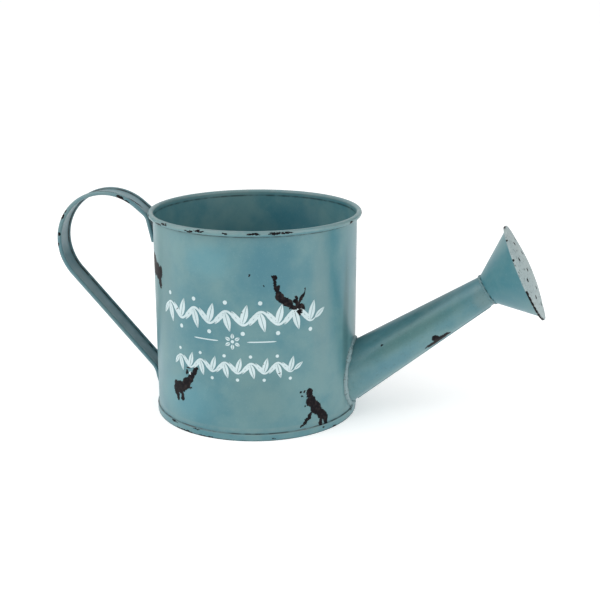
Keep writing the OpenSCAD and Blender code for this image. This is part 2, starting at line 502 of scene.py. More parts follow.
@dataclass(frozen=True)
class Enamel:
    """Teal enamel over tinplate, chipped to dark metal.

    Attributes:
        name: The material's name.
        colour: Paint in its darker patches.
        patch: Paint in its lighter, greyer patches.
        bare: Metal where the paint is gone.
        flecks: Where the paint is gone.
        rough: Roughness of the sound paint.
        reach: How ragged the flecks' edges are.
        skin: Least distance from the can's axis at which flecks show, in mm.
        lump: Height of lumps under the paint, 0 on plain sheet.
        lines: Lines of painted shade, and pale lines on edges that are partly paint rubbed thin and partly painted
            highlight.
        tones: Wide soft patches of another colour.
        pits: How strongly small dark pits show.
    """

    name: str
    colour: Colour = (0.054, 0.188, 0.226)
    patch: Colour = (0.122, 0.250, 0.262)
    bare: Colour = (0.013, 0.012, 0.014)
    flecks: tuple[Fleck, ...] = ()
    rough: float = 0.36
    reach: float = 1.0
    skin: float = 0.0
    lump: float = 0.0
    lines: tuple[Line, ...] = ()
    tones: tuple[Tone, ...] = ()
    pits: float = 0.0

    def build(self) -> bpy.types.Material:
        """Makes the material.

        Returns:
            The material, with its nodes.
        """
        material, graph, place, shader = start_material(self.name)
        coat = graph.group(Effects.brushed_coat(), Place=place)
        paint = graph.mix(coat.outputs["Patch"], self.colour, self.patch)
        for tone in self.tones:
            patch = graph.group(Effects.spot(), Place=Effects.local(graph, place, tone.spot))
            paint = graph.mix(graph.math("MULTIPLY", patch.outputs["Share"], tone.share), paint, tone.colour)
        lighter = tuple(min(1.0, 1.25 * c + 0.02) for c in self.patch)
        speckled = graph.mix(graph.math("MULTIPLY", coat.outputs["Speck"], 0.28), paint, lighter)
        speckled = self._painted_light_and_pits(graph, place, speckled)
        bare = self._bare(graph, place)
        rust = graph.noise(place, 500.0, 3.0).outputs["Fac"]
        metal = graph.mix(graph.ramp(rust, 0.45, 0.7), self.bare, (0.034, 0.027, 0.027))
        graph.feed(shader.inputs["Base Color"], graph.mix(bare, speckled, metal))
        gloss = graph.math("MULTIPLY_ADD", coat.outputs["Gloss"], 0.10, self.rough - 0.05)
        graph.feed(shader.inputs["Roughness"], graph.math("MULTIPLY_ADD", bare, 0.22, gloss))
        graph.feed(shader.inputs["Metallic"], bare)
        graph.feed(shader.inputs["Normal"], self._relief(graph, place, coat.outputs["Height"], bare))
        shader.inputs["Specular IOR Level"].default_value = 0.55
        return material

    def _painted_light_and_pits(self, graph: Graph, place: Socket, paint: Socket) -> Socket:
        """Colours the paint along its lines of painted shade and painted highlight, and darkens it in its pits.

        Args:
            graph: The material's graph.
            place: Object coordinates.
            paint: The clean paint's colour.

        Returns:
            The paint with its lines of painted light and shade, and its pits.
        """
        if self.pits:
            pits = graph.ramp(graph.noise(place, 620.0, 3.0, Roughness=0.6).outputs["Fac"], 0.57, 0.66, 0.0, self.pits)
            paint = graph.mix(pits, paint, (0.03, 0.05, 0.05))
        if not self.lines:
            return paint
        split = graph.node("ShaderNodeSeparateXYZ")
        graph.feed(split.inputs[0], place)
        patchy = graph.ramp(graph.noise(place, 180.0, 3.0).outputs["Fac"], 0.30, 0.62, 0.3, 1.0)
        # Each line lays painted shade or a painted highlight over the paint, made patchy.
        for line in self.lines:
            side = graph.math("ABSOLUTE", split.outputs[line.axis])
            away = graph.math("ABSOLUTE", graph.math("SUBTRACT", side, line.at * MM))
            share = graph.ramp(away, 0.35 * line.half * MM, line.half * MM, line.share, 0.0)
            paint = graph.mix(graph.math("MULTIPLY", share, patchy), paint, line.colour)
        return paint

    def _bare(self, graph: Graph, place: Socket) -> Socket:
        """Adds the mask of missing paint.

        Args:
            graph: The material's graph.
            place: Object coordinates.

        Returns:
            A value that is 1 on bare metal.
        """
        if not self.flecks:
            return graph.math("ADD", 0.0, 0.0)
        ragged = graph.group(Effects.ragged(), Place=place, Reach=self.reach)
        chips = graph.group(Effects.flecks(f"{self.name}_chips", self.flecks), Place=ragged.outputs[0])
        bare = chips.outputs["Bare"]
        if self.skin:
            flat = graph.vector("MULTIPLY", place, (1.0, 1.0, 0.0)).outputs[0]
            away = graph.vector("LENGTH", flat).outputs["Value"]
            bare = graph.math("MULTIPLY", bare, graph.math("GREATER_THAN", away, self.skin * MM))
        return bare

    def _relief(self, graph: Graph, place: Socket, height: Socket, bare: Socket) -> Socket:
        """Adds the bump of the coat, its chipped edges and any lumps.

        Args:
            graph: The material's graph.
            place: Object coordinates.
            height: The coat's own height.
            bare: The mask of missing paint.

        Returns:
            The bumped normal.
        """
        total = graph.math("MULTIPLY_ADD", bare, -0.12, height) if len(self.flecks) <= MOST_IN_BUMP else height
        if self.lump:
            lumps = graph.noise(place, 260.0, 3.0, Roughness=0.6).outputs["Fac"]
            total = graph.math("MULTIPLY_ADD", lumps, self.lump, total)
        return graph.bump(total, 0.5)


@dataclass(frozen=True)
class Plain:
    """An uneven finish for what no paint covers.

    Attributes:
        name: The material's name.
        dark: Colour of its darker patches.
        light: Colour of its lighter patches.
        metal: 1 for metal, 0 for anything else.
        rough: Its middle roughness.
        grain: Patches in a metre.
    """

    name: str
    dark: Colour
    light: Colour
    metal: float
    rough: float
    grain: float = 350.0

    def build(self) -> bpy.types.Material:
        """Makes the material.

        Returns:
            The material, with its nodes.
        """
        material, graph, place, shader = start_material(self.name)
        uneven = graph.noise(place, self.grain, 4.0).outputs["Fac"]
        fine = graph.noise(place, 6.0 * self.grain, 2.0).outputs["Fac"]
        graph.feed(shader.inputs["Base Color"], graph.mix(graph.ramp(uneven, 0.35, 0.65), self.dark, self.light))
        graph.feed(shader.inputs["Roughness"], graph.math("MULTIPLY_ADD", uneven, 0.2, self.rough - 0.1))
        shader.inputs["Metallic"].default_value = self.metal
        graph.feed(shader.inputs["Normal"], graph.bump(graph.math("MULTIPLY", fine, 0.1), 0.3))
        return material


# ---------------------------------------------------------------- the object


@dataclass
class Can:
    """The round can: its wall with the rolled rim, and its base.

    Attributes:
        radius: Radius of the wall.
        height: Height to the top of the rim.
        rim: Width of the rolled rim.
        skin: Distance from the axis inside which no chips show.
        deep: Half depth of a fleck into the wall.
        tone_deep: Half depth of a tone into the wall.
    """

    radius: float = 65.0
    height: float = 132.0
    rim: float = 3.4
    skin: float = 64.8
    deep: float = 2.5
    tone_deep: float = 14.0

    def on_wall(self, along: float, up: float, out: float = 0.0) -> tuple[float, float, float]:
        """Place on the wall's front.

        Args:
            along: Distance round the wall from its front line, positive towards the spout.
            up: Height above the surface that the can stands on.
            out: Distance out from the wall.

        Returns:
            The place in mm.
        """
        turn = along / self.radius
        reach = self.radius + out
        return (reach * math.sin(turn), -reach * math.cos(turn), up)

    def fleck(self, along: float, up: float, long: float, wide: float, slant: float = 90.0, out: float = 0.0) -> Fleck:
        """One fleck of missing paint on the wall.

        Args:
            along: Place round the wall, as in on_wall.
            up: Its height.
            long: Its length in mm.
            wide: Its width in mm.
            slant: Angle of its length above level, as seen from outside.
            out: Distance out from the wall.

        Returns:
            The fleck.
        """
        turn = math.degrees(along / self.radius)
        return Fleck(self.on_wall(along, up, out), (long / 2, self.deep, wide / 2), (0.0, -slant, turn))

    def dress(self) -> None:
        """Gives the wall, the base, the wire and the sealant their finishes."""
        # Dark lines: painted shade in the groove above the foot and under the rim. Pale lines: painted highlight on the
        # rim's top and above the groove, partly paint rubbed thin.
        wall_shade_and_highlight = (
            Line("Z", 4.5, 0.55), Line("Z", 128.2, 0.8, share=0.7), Line("Z", 131.2, 1.7, EDGE_WEAR_AND_HIGHLIGHT, 0.65),
            Line("Z", 7.0, 1.6, EDGE_WEAR_AND_HIGHLIGHT, 0.25),
        )
        wall = Enamel(
            "body_enamel", flecks=self._wall_flecks(), skin=self.skin, lines=wall_shade_and_highlight, tones=self._wall_tones_and_reflections()
        )
        # Pale line on the band's top edge: painted highlight, partly worn paint. Dark line at its foot: painted shade
        # where it meets the floor.
        foot_shade_and_highlight = (Line("Z", 4.1, 0.5, EDGE_WEAR_AND_HIGHLIGHT, 0.5), Line("Z", 0.1, 0.7, share=0.8))
        finishes = {
            "body_wall": wall,
            "base_pan": Enamel("base_enamel", flecks=self._foot_flecks(), lines=foot_shade_and_highlight),
            "rim_wire": Plain("drawn_steel", (0.22, 0.21, 0.20), (0.42, 0.41, 0.39), 1.0, 0.36),
            "base_seam_sealant": Plain("seam_sealant", (0.16, 0.15, 0.13), (0.27, 0.25, 0.22), 0.0, 0.7),
        }
        for node, finish in finishes.items():
            dress(frame["nodes"][node], finish.build())

    def _wall_tones_and_reflections(self) -> tuple[Tone, ...]:
        """Where the wall's paint is bluer, greyer or darker, with two painted reflection bands."""

        def tone(along: float, up: float, wide: float, tall: float, colour: Colour, share: float) -> Tone:
            turn = math.degrees(along / self.radius)
            half = (wide / 2, self.tone_deep, tall / 2)
            return Tone(Fleck(self.on_wall(along, up), half, (0.0, 0.0, turn)), colour, share)

        blue, grey = (0.032, 0.160, 0.215), (0.150, 0.250, 0.255)
        green, deep = (0.095, 0.195, 0.198), (0.030, 0.100, 0.108)
        return (
            tone(24.0, 108.0, 48.0, 44.0, blue, 0.55), tone(-14.0, 112.0, 40.0, 26.0, (0.080, 0.262, 0.315), 0.5),
            # The tall narrow strips at 59 (grey) and 84 (deep) are painted reflection bands down the round wall, one
            # lighter and one dark.
            tone(59.0, 88.0, 20.0, 112.0, grey, 0.55), tone(-56.0, 92.0, 40.0, 90.0, green, 0.55),
            tone(84.0, 60.0, 11.0, 120.0, deep, 0.6), tone(-34.0, 22.0, 60.0, 34.0, (0.075, 0.255, 0.310), 0.5),
            tone(18.0, 30.0, 50.0, 50.0, green, 0.35), tone(150.0, 80.0, 70.0, 60.0, grey, 0.45),
            tone(-140.0, 40.0, 80.0, 50.0, green, 0.45), tone(190.0, 110.0, 60.0, 30.0, blue, 0.5),
        )

    def _wall_flecks(self) -> tuple[Fleck, ...]:
        """Where the wall and its rim have lost paint."""
        upper = (
            (27.3, 103.6, 4.6, 2.8, 150), (27.4, 99.0, 9.5, 2.6, 98), (29.0, 95.5, 6.5, 2.6, 80),
            (30.0, 91.5, 7.0, 5.4, 110), (34.0, 88.0, 10.0, 5.4, 160), (37.5, 85.2, 6.0, 3.6, 120),
            (41.0, 87.0, 9.0, 2.4, 100), (44.0, 89.0, 9.5, 2.0, 60), (42.3, 82.5, 8.5, 8.0, 20),
            (12.2, 104.8, 1.5, 1.2), (20.5, 99.0, 1.2, 0.9), (46.5, 94.0, 3.5, 1.0, 70),
        )
        left = (
            (-86.0, 119.0, 12.0, 2.6, 92), (-82.0, 111.0, 12.0, 4.0, 95), (-78.0, 105.0, 12.0, 8.0, 98),
            (-71.0, 100.0, 15.0, 13.0, 105), (-63.0, 97.5, 11.0, 10.0, 100), (-57.5, 98.0, 9.0, 5.0, 85),
            (-59.0, 91.5, 9.0, 5.0, 100),
        )
        lower_left = (
            (-24.6, 41.5, 7.5, 3.8, 62), (-27.8, 36.8, 9.0, 5.0, 58), (-32.0, 31.8, 11.0, 7.0, 50),
            (-37.5, 28.0, 10.0, 8.5, 20), (-41.5, 27.0, 10.0, 5.5, 90), (-40.0, 21.5, 6.0, 3.2, 95),
            (-35.5, 22.5, 6.0, 3.0, 80), (-28.0, 30.0, 2.8, 1.8, 20), (-30.8, 39.5, 3.5, 2.0, 70),
            (-29.5, 43.0, 4.0, 1.1, 5), (-34.5, 43.0, 1.5, 1.0),
        )
        lower_right = (
            (49.8, 27.5, 7.0, 5.0, 85), (51.0, 22.0, 8.0, 7.4, 100), (54.5, 17.0, 10.0, 8.4, 130),
            (59.0, 12.0, 9.5, 6.6, 125), (62.5, 8.0, 9.0, 4.4, 95), (58.5, 6.5, 8.0, 3.0, 80),
            (50.0, 12.5, 7.0, 2.6, 60), (47.2, 9.5, 5.5, 2.6, 50), (44.6, 6.8, 3.0, 1.6, 45),
            (43.6, 29.4, 1.8, 1.5), (46.0, 29.4, 1.7, 1.4), (44.8, 26.3, 2.0, 1.3, 150),
            (46.6, 19.8, 1.4, 1.3), (58.5, 3.8, 2.4, 1.7, 60), (61.5, 4.6, 1.6, 1.1),
        )
        behind = (
            (150.0, 62.0, 9.0, 5.0, 60), (154.0, 56.0, 7.0, 3.6, 100), (147.0, 68.0, 4.0, 1.8, 30),
            (-142.0, 30.0, 10.0, 6.0, 130), (-146.0, 24.0, 6.0, 3.0, 80), (-136.0, 36.0, 3.0, 1.6, 20),
            (-115.0, 98.0, 5.0, 2.6, 70), (112.0, 108.0, 6.0, 2.4, 110), (108.0, 101.0, 2.0, 1.2, 60),
            (201.0, 122.0, 7.0, 1.2, 90), (201.5, 44.0, 9.0, 1.3, 90), (-190.0, 82.0, 3.0, 1.8, 40),
        )
        rows = upper + left + lower_left + lower_right + behind
        return tuple(self.fleck(*row) for row in rows) + self._rim_flecks()

    def _rim_flecks(self) -> tuple[Fleck, ...]:
        """Where the rolled rim has lost paint."""
        stretches = (
            (-73, 4), (-52, 8), (-45, 7), (-24, 7), (-17, 8), (-1, 3), (15, 9), (27, 8), (34, 7), (84, 5),
            (110, 7), (131, 11), (160, 6), (186, 12), (-110, 9), (-133, 5), (-158, 12), (-189, 6),
        )
        mid = self.height - self.rim / 2
        return tuple(
            self.fleck(along, mid + (0.3 if along % 4 else -0.5), long, 1.3, 0.0, self.rim - 0.5)
            for along, long in stretches
        )

    def _foot_flecks(self) -> tuple[Fleck, ...]:
        """Where the band at the foot has lost paint."""
        stretches = (
            (-44, 3.6, 7), (-37, 0.6, 9), (-30, 0.5, 8), (-24, 3.9, 6), (-19, 0.4, 7), (-14, 0.5, 4), (26, 1.6, 2),
            (60, 2.8, 2), (70, 0.5, 5), (93, 3.6, 3), (120, 0.6, 8), (163, 3.4, 5), (-80, 3.8, 4), (-121, 0.5, 9),
            (-170, 0.6, 7),
        )
        return tuple(self.fleck(along, up, long, 1.0, 0.0, 0.8) for along, up, long in stretches)


@dataclass
class Handle:
    """The strap handle with rolled edges.

    Attributes:
        bead: Radius of the rolled edges.
        half_width: Distance from the middle to each rolled edge's middle.
        sheet: Thickness of the strap between its edges.
        loop_middle: X and Z of the top loop's centre.
        loop: Radius of the top loop.
        lift_off: Angle round the loop at which the strap leaves it towards the rim.
        slope: Angle of the straight run below level.
        tab: X of the strap's middle where it lies on the wall.
        low_bend: Radius of the bend above the lower tab.
        high_bend: Radius of the bend above the upper tab.
        foot: Z of the lower tab's end.
        top_tab: Z of the upper tab's end.
        lean: Angle of the upper tab from upright.
        wall: Radius of the can's wall with the solder on it.
        tab_depth: Thickness of the flattened lower tab.
        flat: Height of the fully flattened part of that tab.
        around: Vertices round the strap's section.
        bend_step: Degrees of a bend between two sections.
        run_step: Length of a straight run between two sections.
    """

    bead: float = 1.35
    half_width: float = 7.4
    sheet: float = 0.4
    loop_middle: tuple[float, float] = (-98.7, 106.6)
    loop: float = 32.85
    lift_off: float = 50.0
    slope: float = 48.1
    tab: float = -66.24
    low_bend: float = 13.6
    high_bend: float = 8.0
    foot: float = 5.2
    top_tab: float = 108.7
    lean: float = 13.0
    wall: float = 65.2
    tab_depth: float = 1.5
    flat: float = 6.0
    around: int = 56
    bend_step: float = 2.6
    run_step: float = 3.0
    piece: bpy.types.Object | None = field(default=None, init=False)

    def build(self) -> None:
        """Models the strap: its section at the lower tab, drawn on along straight runs and bends."""
        self._section()
        tip = self._bends()
        with edit_mode(self.piece):
            pick_vertices(self.piece, lambda co: co.z < (self.foot + 0.01) * MM)
            self._draw_up(6)
            for middle, turn, length in tip:
                if turn:
                    steps = max(4, round(abs(turn) / self.bend_step))
                    bpy.ops.mesh.spin(
                        steps=steps, angle=math.radians(turn), axis=(0.0, 1.0, 0.0),
                        center=(middle[0] * MM, 0.0, middle[1] * MM),
                    )
                else:
                    steps = max(2, round(length / self.run_step))
                    for _ in range(steps):
                        step = Vector((middle[0], 0.0, middle[1])) * (length / steps * MM)
                        bpy.ops.mesh.extrude_region_move(TRANSFORM_OT_translate={"value": step})
        outward(self.piece)
        self._flatten_tab()
        self._soften_ends()
        smooth(self.piece, 50.0)
        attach(self.piece, ROOT)
        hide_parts("handle_strap")
        log.info("handle_strap: %d faces", len(self.piece.data.polygons))

    def _section(self) -> None:
        """Makes the strap's section, flat at the lower tab's end, from a circle."""
        bpy.ops.mesh.primitive_circle_add(
            vertices=self.around, radius=MM, fill_type="NGON", location=(self.tab * MM, 0.0, self.foot * MM)
        )
        self.piece = start_piece("strap_handle")
        bite = math.asin(self.sheet / 2 / self.bead)
        arc = 2 * (math.pi - bite)
        inner = self.half_width - self.bead * math.cos(bite)
        web = (1, 2, 3, 4)  # steps across the flat web from one bead to the other
        per_bead = self.around // 2 - len(web)
        points = []
        for side in (1, -1):
            for k in range(per_bead):
                turn = -math.pi + bite + arc * k / (per_bead - 1)
                wide = self.half_width + self.bead * math.cos(turn)
                points.append((side * self.bead * math.sin(turn), side * wide))
            points += [(side * self.sheet / 2, side * inner * (1 - 2 * k / (len(web) + 1))) for k in web]
        for vertex, (across, wide) in zip(self.piece.data.vertices, points):
            vertex.co.x = (self.tab + across) * MM
            vertex.co.y = wide * MM

    def _draw_up(self, steps: int) -> None:
        """Draws the section up the lower tab in short steps."""
        rise = (self._low_bend_z() - self.foot) / steps * MM
        for _ in range(steps):
            bpy.ops.mesh.extrude_region_move(TRANSFORM_OT_translate={"value": (0.0, 0.0, rise)})

    def _run_start(self) -> tuple[float, float]:
        """X and Z where the straight run leaves the loop."""
        turn = math.radians(270.0 - self.slope)
        return (self.loop_middle[0] + self.loop * math.cos(turn), self.loop_middle[1] + self.loop * math.sin(turn))

    def _low_meet_z(self) -> float:
        """Z where the straight run's line meets the lower tab's line."""
        x, z = self._run_start()
        return z - (self.tab - x) * math.tan(math.radians(self.slope))

    def _low_bend_z(self) -> float:
        """Z at which the lower bend starts."""
        return self._low_meet_z() - self.low_bend * math.tan(math.radians(90.0 - self.slope) / 2)

    def _bends(self) -> list[tuple[tuple[float, float], float, float]]:
        """Stretches of the strap after its lower tab.

        Returns:
            For a bend its centre, its turn in degrees and 0; for a run its direction, 0 and its length.
        """
        slope = math.radians(self.slope)
        start = self._run_start()
        cut = self.low_bend * math.tan((math.pi / 2 - slope) / 2)
        meet = (self.tab, self._low_meet_z())
        run = math.dist(start, meet) - cut
        lift = math.radians(self.lift_off)
        off = (self.loop_middle[0] + self.loop * math.cos(lift), self.loop_middle[1] + self.loop * math.sin(lift))
        down = (math.sin(lift), -math.cos(lift))
        lean = math.radians(self.lean)
        tab_down = (math.sin(lean), -math.cos(lean))
        gap = (self.tab - off[0], self.top_tab - off[1])
        reach = (gap[0] * tab_down[1] - gap[1] * tab_down[0]) / (down[0] * tab_down[1] - down[1] * tab_down[0])
        high_meet = (off[0] + reach * down[0], off[1] + reach * down[1])
        high_cut = self.high_bend * math.tan((lift - lean) / 2)
        bend_start = (high_meet[0] - high_cut * down[0], high_meet[1] - high_cut * down[1])
        bend_middle = (bend_start[0] - self.high_bend * math.cos(lift), bend_start[1] - self.high_bend * math.sin(lift))
        return [
            ((self.tab - self.low_bend, self._low_bend_z()), 90.0 - self.slope, 0.0),
            ((-math.cos(slope), math.sin(slope)), 0.0, run),
            (self.loop_middle, -(270.0 - self.slope - self.lift_off), 0.0),
            (down, 0.0, reach - high_cut),
            (bend_middle, -(self.lift_off - self.lean), 0.0),
            (tab_down, 0.0, math.dist(high_meet, (self.tab, self.top_tab)) - high_cut),
        ]

    def _flatten_tab(self) -> None:
        """Presses the lower tab flat against the round wall, easing out into the full strap above it."""
        flat_top, full_top = self.foot + self.flat, self._low_bend_z() + 2.0
        squash = self.tab_depth / (2 * self.bead)
        for vertex in self.piece.data.vertices:
            x, y, z = (v / MM for v in vertex.co)
            if z > full_top or x < self.tab - 4.0:
                continue
            ease = min(1.0, max(0.0, (full_top - z) / (full_top - flat_top)))
            ease = ease * ease * (3 - 2 * ease)
            depth = (x - self.tab) * (1 - ease * (1 - squash))
            hug = self.wall - math.sqrt(self.wall**2 - y**2)
            middle = -(self.wall + self.tab_depth / 2) + hug
            vertex.co.x = ((1 - ease) * (self.tab + depth) + ease * (middle + depth)) * MM

    def _soften_ends(self) -> None:
        """Rounds the edges of the strap's two cut ends."""
        modify(
            self.piece, "BEVEL", width=0.25 * MM, segments=2, limit_method="ANGLE", angle_limit=math.radians(60.0)
        )

    def dress(self) -> None:
        """Gives the strap its worn enamel, with painted light on its web and edges and painted shade in its creases."""
        # Pale web: painted light lifting the web out of its shade. Dark line at 6.05: painted shade in the crease
        # beside each rolled edge. Pale line at 8.3: painted highlight on the rolled edges, partly worn paint.
        lines = (
            Line("Y", 0.0, 7.4, (0.17, 0.28, 0.32), 0.6), Line("Y", 6.05, 0.6, share=1.0),
            Line("Y", 8.3, 0.4, EDGE_WEAR_AND_HIGHLIGHT, 0.15),
        )
        finish = Enamel(
            "handle_enamel", (0.072, 0.190, 0.226), (0.130, 0.222, 0.232), flecks=self._flecks(), lines=lines,
            reach=0.5, rough=0.33,
        )
        dress(self.piece, finish.build())

    def _at(self, degrees: float, side: float, out: float) -> tuple[float, float, float]:
        """Place on the top loop.

        Args:
            degrees: Angle round the loop from +X.
            side: Y of the place.
            out: Distance out from the strap's middle line.

        Returns:
            The place in mm.
        """
        turn = math.radians(degrees)
        reach = self.loop + out
        return (self.loop_middle[0] + reach * math.cos(turn), side, self.loop_middle[1] + reach * math.sin(turn))

    def _flecks(self) -> tuple[Fleck, ...]:
        """Where the strap has lost paint."""
        edge = -self.half_width
        runs = (
            (94, edge + 0.1, 1.4, 7, 0.7), (85, edge + 0.3, 1.4, 10, 1.0), (77, edge + 0.7, 1.2, 9, 1.1),
            (74, edge + 1.5, 0.4, 10, 1.9), (69, edge + 1.2, 0.9, 8, 1.0), (151, edge - 1.0, 0.6, 5, 1.0),
            (144, edge - 0.9, 0.3, 4, 0.8), (172, edge - 1.1, -0.2, 3, 0.8), (184, edge - 0.9, 0.9, 3, 1.1),
            (66, edge + 1.9, 0.3, 8, 2.0), (60, edge + 3.4, 0.2, 5, 1.2), (54, edge + 4.4, 0.2, 6, 0.9),
            (48, edge + 5.0, 0.2, 5, 0.8), (57, edge + 1.1, 0.5, 6, 1.0), (70, edge - 0.9, -0.2, 7, 1.2),
            (62, edge - 0.7, -0.5, 6, 1.2), (148, edge + 0.9, 0.6, 7, 1.5), (156, edge + 0.7, 0.8, 5, 1.3),
            (170, edge + 1.2, 0.6, 6, 1.0), (196, edge - 0.3, 1.2, 6, 1.4), (203, edge - 0.5, 1.1, 4, 1.1),
            (118, -edge + 0.4, 1.0, 8, 1.3), (95, -edge + 0.5, 0.9, 9, 1.2),
        )
        return tuple(
            Fleck(self._at(turn, side, out), (wide / 2 + 0.5, wide / 2 + 0.2, long / 2), (0.0, -turn, 0.0))
            for turn, side, out, long, wide in runs
        )


@dataclass
class Ornament:
    """White print on the can's front: two bands of leaves, and a flower between two rules.

    Attributes:
        can: The can that it is printed on.
        coat: Thickness of the print.
        bands: Start, end, middle height and height of each band of leaves.
        rules: Start and end of each rule.
        rule_wide: Width of a rule.
        flower: Place and radius of the flower between them.
        gap: Distance of the print's underside from the wall's nominal face.
        waves: Waves of each band's stem.
        cuts: First, last and step of the cuts, in mm, that let the flat print bend round the can.
        leaves: For each leaf of a tuft its shift along the stem in waves, its angle, and its length and width
            as shares of the band's height.
    """

    can: Can
    coat: float = 0.04
    bands: tuple[tuple[float, float, float, float], ...] = ((-50.0, 56.0, 78.5, 26.0), (-40.0, 41.0, 47.0, 20.5))
    rules: tuple[tuple[float, float], ...] = ((-24.0, -7.5), (10.5, 28.0))
    rule_wide: float = 0.75
    flower: tuple[float, float, float] = (1.5, 63.8, 4.8)
    gap: float = 0.05
    waves: int = 5
    cuts: tuple[int, int, int] = (-52, 60, 2)
    leaves: tuple[tuple[float, float, float, float], ...] = (
        (0.0, 76.0, 0.50, 0.17), (0.17, 36.0, 0.36, 0.13), (-0.06, 122.0, 0.36, 0.13),
    )
    piece: bpy.types.Object | None = field(default=None, init=False)

    def build(self) -> None:
        """Lays the print out flat, wraps it round the can and gives it its thickness."""
        parts: list[bpy.types.Object] = []
        for start, end, middle, tall in self.bands:
            parts += self._vine(start, end, middle, tall)
        parts += [self._strip(start, end, lambda _: self.flower[1], self.rule_wide) for start, end in self.rules]
        parts += self._blossom()
        self.piece = join(parts, "printed_leaves")
        with edit_mode(self.piece):
            for along in range(*self.cuts):
                bpy.ops.mesh.select_all(action="SELECT")
                bpy.ops.mesh.bisect(plane_co=(along * MM, 0.0, 0.0), plane_no=(1.0, 0.0, 0.0))
        for vertex in self.piece.data.vertices:
            vertex.co = Vector(self.can.on_wall(vertex.co.x / MM, vertex.co.y / MM, self.gap)) * MM
        modify(self.piece, "SOLIDIFY", thickness=self.coat * MM, offset=-1.0)
        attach(self.piece, ROOT)
        log.info("printed_leaves: %d faces", len(self.piece.data.polygons))

    def dress(self) -> None:
        """Gives the print its worn white."""
        finish = Enamel(
            "white_print", colour=(0.50, 0.62, 0.64), patch=(0.58, 0.70, 0.72), flecks=self._flecks(), rough=0.5
        )
        dress(self.piece, finish.build())

    def _flecks(self) -> tuple[Fleck, ...]:
        """Where the print has gone with the paint under it."""
        rows = (
            (29.0, 91.0, 5.0, 2.4, 110), (38.5, 84.0, 6.0, 2.2, 150), (43.0, 81.0, 4.0, 3.0, 20),
            (46.0, 87.0, 5.0, 1.4, 60), (-26.5, 40.0, 4.5, 2.2, 60), (-31.0, 43.0, 3.0, 0.9, 10),
            (39.7, 88.0, 4.5, 4.5), (-12.0, 72.5, 1.4, 0.6, 30), (8.0, 82.5, 1.2, 0.6, 70), (-38.0, 79.0, 1.8, 0.6, 40),
            (20.0, 50.0, 1.4, 0.5, 20), (-5.0, 44.0, 1.2, 0.5, 80), (30.0, 43.0, 1.6, 0.6, 50),
        )
        return tuple(self.can.fleck(*row) for row in rows)

    def _strip(self, start: float, end: float, height: Callable[[float], float], wide: float) -> bpy.types.Object:
        """A line of even width whose ends taper.

        Args:
            start: Where it starts along the wall.
            end: Where it ends.
            height: Gives its height at a place along the wall.
            wide: Its width.

        Returns:
            The flat strip.
        """
        bpy.ops.mesh.primitive_grid_add(x_subdivisions=max(8, round(end - start)), y_subdivisions=1, size=1.0)
        strip = start_piece("strip")
        for vertex in strip.data.vertices:
            share, side = vertex.co.x + 0.5, vertex.co.y
            along = start + (end - start) * share
            ease = min(1.0, 8 * share + 0.3, 8 * (1 - share) + 0.3)
            rise = (height(along + 0.1) - height(along - 0.1)) / 0.2
            across = side * wide * ease / math.hypot(1.0, rise)
            vertex.co.x, vertex.co.y = (along - across * rise) * MM, (height(along) + across) * MM
        return strip

    def _leaf(self, foot: tuple[float, float], aim: float, long: float, wide: float) -> list[bpy.types.Object]:
        """A pointed leaf with a bare vein down its middle.

        Args:
            foot: Where it starts.
            aim: Its direction above level, in degrees.
            long: Its length.
            wide: Its width.

        Returns:
            The leaf's two halves.
        """
        halves = []
        turn = math.radians(aim)
        vein = 0.17  # half width of the bare vein
        outer, inner = 10, 4  # steps along the leaf's outer edge and back along its vein
        for side in (1.0, -1.0):
            bpy.ops.mesh.primitive_circle_add(vertices=outer + inner, radius=MM, fill_type="NGON")
            half = start_piece("leaf")
            for k, vertex in enumerate(half.data.vertices):
                share = k / outer if k <= outer else 1.0 - (k - outer) / inner
                swell = wide / 2 * math.sin(math.pi * share**0.85) ** 0.9 if k <= outer else 0.0
                along, across = long * share, side * max(swell, vein)
                if k in (0, outer):
                    across = side * 0.1
                vertex.co.x = (foot[0] + along * math.cos(turn) - across * math.sin(turn)) * MM
                vertex.co.y = (foot[1] + along * math.sin(turn) + across * math.cos(turn)) * MM
            halves.append(half)
        return halves

    def _disc(self, middle: tuple[float, float], radius: float) -> bpy.types.Object:
        """A filled round spot."""
        bpy.ops.mesh.primitive_circle_add(
            vertices=18, radius=radius * MM, fill_type="NGON", location=(middle[0] * MM, middle[1] * MM, 0.0)
        )
        return start_piece("spot")

    def _vine(self, start: float, end: float, middle: float, tall: float) -> list[bpy.types.Object]:
        """A waving stem with leaves and berries on alternate sides.

        Args:
            start: Where it starts along the wall.
            end: Where it ends.
            middle: Height of its middle.
            tall: Its whole height.

        Returns:
            The flat parts.
        """
        period = (end - start) / self.waves

        def stem(along: float) -> float:
            return middle + 0.16 * tall * math.sin(2 * math.pi * (along - start) / period)

        parts = [self._strip(start, end, stem, 0.055 * tall)]
        for k in range(2 * self.waves):
            side = 1 if k % 2 else -1
            at = start + (k + 0.42) * period / 2
            for shift, aim, long, wide in self.leaves:
                foot = at + shift * period
                parts += self._leaf((foot, stem(foot)), side * aim, long * tall, wide * tall)
            parts.append(self._disc((at + 0.02 * period, stem(at) - side * 0.21 * tall), 0.05 * tall))
        return parts

    def _blossom(self) -> list[bpy.types.Object]:
        """A flower of six petals round a spot."""
        along, up, radius = self.flower
        parts = [self._disc((along, up), 0.22 * radius)]
        for k in range(6):
            aim = 30.0 + 60.0 * k
            turn, out = math.radians(aim), 0.36 * radius
            foot = (along + out * math.cos(turn), up + out * math.sin(turn))
            parts += self._leaf(foot, aim, 0.72 * radius, 0.46 * radius)
        return parts


